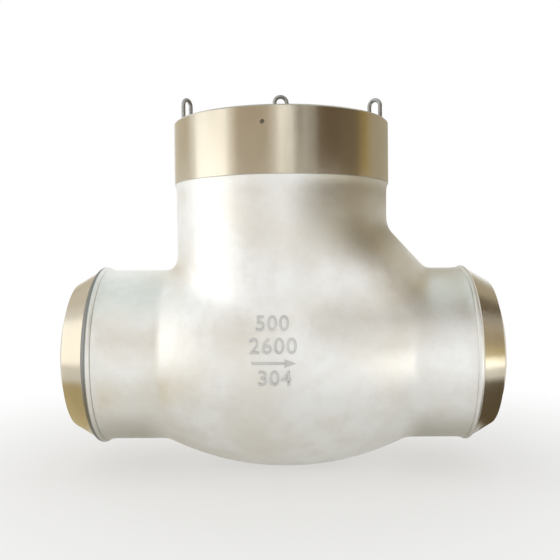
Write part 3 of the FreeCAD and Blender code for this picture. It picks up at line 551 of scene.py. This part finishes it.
def raised_number(name, words, height, x, z, surface, material):
    """Cast figures with rounded edges, centred on x, their foot at z."""
    curve = bpy.data.curves.new(name + "_text", "FONT")
    curve.body = words
    curve.align_x = "CENTER"
    curve.size = height / CAPITAL_SHARE
    curve.space_character = 1.12
    curve.offset = -FIGURE_THINNING
    curve.extrude = FIGURE_HALF_DEPTH
    curve.bevel_depth = FIGURE_ROUNDING
    curve.bevel_resolution = 2
    text = bpy.data.objects.new(name + "_text", curve)
    bpy.context.scene.collection.objects.link(text)
    mesh = bpy.data.meshes.new_from_object(text)
    bpy.data.objects.remove(text)
    wrap_on_front(mesh, surface, x, z, FIGURE_ROUNDING)
    mesh.shade_smooth()
    return keep_piece(name, mesh, material)


def flow_arrow(name, length, x, z, surface, material):
    """A bar with a swept head, pointing downstream, with its edges rounded."""
    form = bmesh.new()
    start, tip = -length / 2, length / 2
    bar_end = tip - BAR_STOP
    notch = tip - HEAD_LENGTH + HEAD_NOTCH
    bar = [(start, -BAR_HALF_WIDTH), (bar_end, -BAR_HALF_WIDTH), (bar_end, BAR_HALF_WIDTH),
           (start, BAR_HALF_WIDTH)]
    head = [(tip - HEAD_LENGTH, -HEAD_HALF_WIDTH), (tip, 0.0), (tip - HEAD_LENGTH, HEAD_HALF_WIDTH),
            (notch, 0.0)]
    for outline in (bar, head):
        face = form.faces.new([form.verts.new((across, up, -ARROW_BURIED)) for across, up in outline])
        grown = bmesh.ops.extrude_face_region(form, geom=[face])
        top = [part for part in grown["geom"] if isinstance(part, bmesh.types.BMVert)]
        bmesh.ops.translate(form, verts=top, vec=(0.0, 0.0, ARROW_DEPTH))
    bmesh.ops.recalc_face_normals(form, faces=form.faces)
    rims = [edge for edge in form.edges if all(corner.co.z > 0 for corner in edge.verts)]
    bmesh.ops.bevel(form, geom=rims, offset=ARROW_ROUNDING, offset_type="OFFSET", segments=2, profile=0.5,
                    affect="EDGES", material=-1)
    bmesh.ops.subdivide_edges(
        form, edges=[edge for edge in form.edges if edge.calc_length() > LONGEST_FLAT_EDGE], cuts=8)
    mesh = bpy.data.meshes.new(name)
    form.to_mesh(mesh)
    form.free()
    wrap_on_front(mesh, surface, x, z, 0.0)
    return keep_piece(name, mesh, material)


def cast_marks(casting):
    surface = surface_of(casting)
    # painted shade: the raised marks are a darker grey than the casting around them, so that they stand
    # out as if shaded
    material = cast_finish("mark_casting", (0.72, 0.72, 0.70))
    raised_number("mark_bore", "500", 0.046, -0.028, RUN_AXIS + 0.113, surface, material)
    raised_number("mark_rating", "2600", 0.048, -0.026, RUN_AXIS + 0.043, surface, material)
    flow_arrow("mark_flow", 0.136, -0.024, RUN_AXIS + 0.013, surface, material)
    raised_number("mark_grade", "304", 0.046, -0.022, RUN_AXIS - 0.055, surface, material)


# Studio

def background_share(tree):
    """1 for camera, glossy and transmission rays and 0 for the rest."""
    path = tree.nodes.new("ShaderNodeLightPath")
    share = path.outputs["Is Camera Ray"]
    for name in ("Is Glossy Ray", "Is Transmission Ray"):
        higher = tree.nodes.new("ShaderNodeMath")
        higher.operation = "MAXIMUM"
        tree.links.new(share, higher.inputs[0])
        tree.links.new(path.outputs[name], higher.inputs[1])
        share = higher.outputs[0]
    return share


def studio_world():
    """White to the camera and in the metal, softer as light on the object."""
    world = bpy.data.worlds.new("studio")
    bpy.context.scene.world = world
    world.use_nodes = True
    tree = world.node_tree
    back = tree.nodes["Background"]
    back.inputs["Color"].default_value = (1.0, 1.0, 1.0, 1.0)
    strength = tree.nodes.new("ShaderNodeMapRange")
    strength.inputs["To Min"].default_value = DIFFUSE_DAYLIGHT
    tree.links.new(background_share(tree), strength.inputs["Value"])
    tree.links.new(strength.outputs[0], back.inputs["Strength"])


def floor_finish():
    """Pale and matt at the valve, turning into the white background away from it."""
    finish = Finish("pale_floor")
    finish.feed("Base Color", paint((0.86, 0.84, 0.79)))
    finish.feed("Roughness", 0.9)
    glow = finish.tree.nodes.new("ShaderNodeEmission")
    share = background_share(finish.tree)
    seen = finish.add("ShaderNodeLightPath", {}, {}, "Is Camera Ray")
    near = FLOOR_GLOW + seen * FLOOR_GLOW_SEEN
    far = (finish.x * finish.x + finish.y * finish.y).root().past(WHITE_FROM, WHITE_WIDTH)
    lit = (near + far * (1 - near)) * Value(finish, share)
    mixer = finish.tree.nodes.new("ShaderNodeMixShader")
    finish.tree.links.new(lit.socket, mixer.inputs[0])
    finish.tree.links.new(finish.shader.outputs[0], mixer.inputs[1])
    finish.tree.links.new(glow.outputs[0], mixer.inputs[2])
    finish.tree.links.new(mixer.outputs[0], finish.tree.nodes["Material Output"].inputs[0])
    return finish.material


def studio_floor():
    form = bmesh.new()
    bmesh.ops.create_circle(form, cap_ends=True, segments=96, radius=FLOOR_RADIUS)
    mesh = bpy.data.meshes.new("floor")
    form.to_mesh(mesh)
    form.free()
    floor = bpy.data.objects.new("floor", mesh)
    bpy.context.scene.collection.objects.link(floor)
    mesh.materials.append(floor_finish())


def card_finish(name, colour):
    finish = Finish(name)
    finish.feed("Base Color", paint((0.0, 0.0, 0.0)))
    finish.feed("Roughness", 1.0)
    finish.feed("Specular IOR Level", 0.0)
    finish.feed("Emission Color", paint(colour))
    finish.feed("Emission Strength", 1.0)
    return finish.material


def studio_card(name, start, turn, section, colour):
    """A curved card about the valve, seen only in the metal; degrees run from front to right."""
    form = bmesh.new()
    corners = [form.verts.new((0.0, -reach, height)) for reach, height in section]
    edges = [form.edges.new(pair) for pair in zip(corners, corners[1:])]
    bmesh.ops.rotate(form, verts=corners, cent=(0, 0, 0),
                     matrix=Matrix.Rotation(math.radians(start), 3, "Z"))
    bmesh.ops.spin(form, geom=corners + edges, cent=(0, 0, 0), axis=(0, 0, 1),
                   angle=math.radians(turn), steps=24, use_merge=turn == 360)
    mesh = bpy.data.meshes.new(name)
    form.to_mesh(mesh)
    form.free()
    card = bpy.data.objects.new(name, mesh)
    bpy.context.scene.collection.objects.link(card)
    mesh.materials.append(card_finish(name, colour))
    card.visible_camera = False
    card.visible_diffuse = False
    card.visible_shadow = False


def soft_lamp(name, place, target, width, height, power, colour=(1.0, 1.0, 1.0)):
    lamp = bpy.data.lights.new(name, "AREA")
    lamp.shape = "RECTANGLE"
    lamp.size = width
    lamp.size_y = height
    lamp.energy = power
    lamp.color = colour
    holder = bpy.data.objects.new(name, lamp)
    bpy.context.scene.collection.objects.link(holder)
    holder.location = place
    holder.rotation_euler = (Vector(target) - Vector(place)).to_track_quat("-Z", "Y").to_euler()
    holder.visible_camera = False


def studio_lamps():
    soft_lamp("left_window", (-3.1, -1.0, 1.0), VALVE_MIDDLE, 2.6, 2.0, 15.0, (0.95, 0.97, 1.0))
    soft_lamp("front_strip", (0.30, -3.5, 1.9), VALVE_MIDDLE, 0.20, 1.6, 2.5, (0.95, 0.98, 1.0))
    soft_lamp("low_fill", (1.75, -1.05, 0.18), OUTLET_TUBE, 1.3, 0.26, 2.0)
    soft_lamp("overhead", (-0.2, -0.2, 4.0), VALVE_MIDDLE, 2.6, 2.6, 12, (0.93, 1.0, 0.98))


def studio_camera():
    lens = bpy.data.cameras.new("camera")
    lens.sensor_width = CAMERA_SENSOR
    lens.lens = CAMERA_LENS
    camera = bpy.data.objects.new("camera", lens)
    bpy.context.scene.collection.objects.link(camera)
    turn = (Matrix.Rotation(math.radians(CAMERA_TURN), 4, "Z")
            @ Matrix.Rotation(math.radians(CAMERA_TILT), 4, "X")
            @ Matrix.Rotation(math.radians(CAMERA_ROLL), 4, "Z"))
    camera.matrix_world = Matrix.Translation(CAMERA_PLACE) @ turn
    bpy.context.scene.camera = camera


cast_marks(softened_casting(dress_frame()))
studio_world()
studio_floor()
for card in CARDS:
    studio_card(*card)
studio_lamps()
studio_camera()
bpy.context.scene.view_settings.view_transform = "Standard"
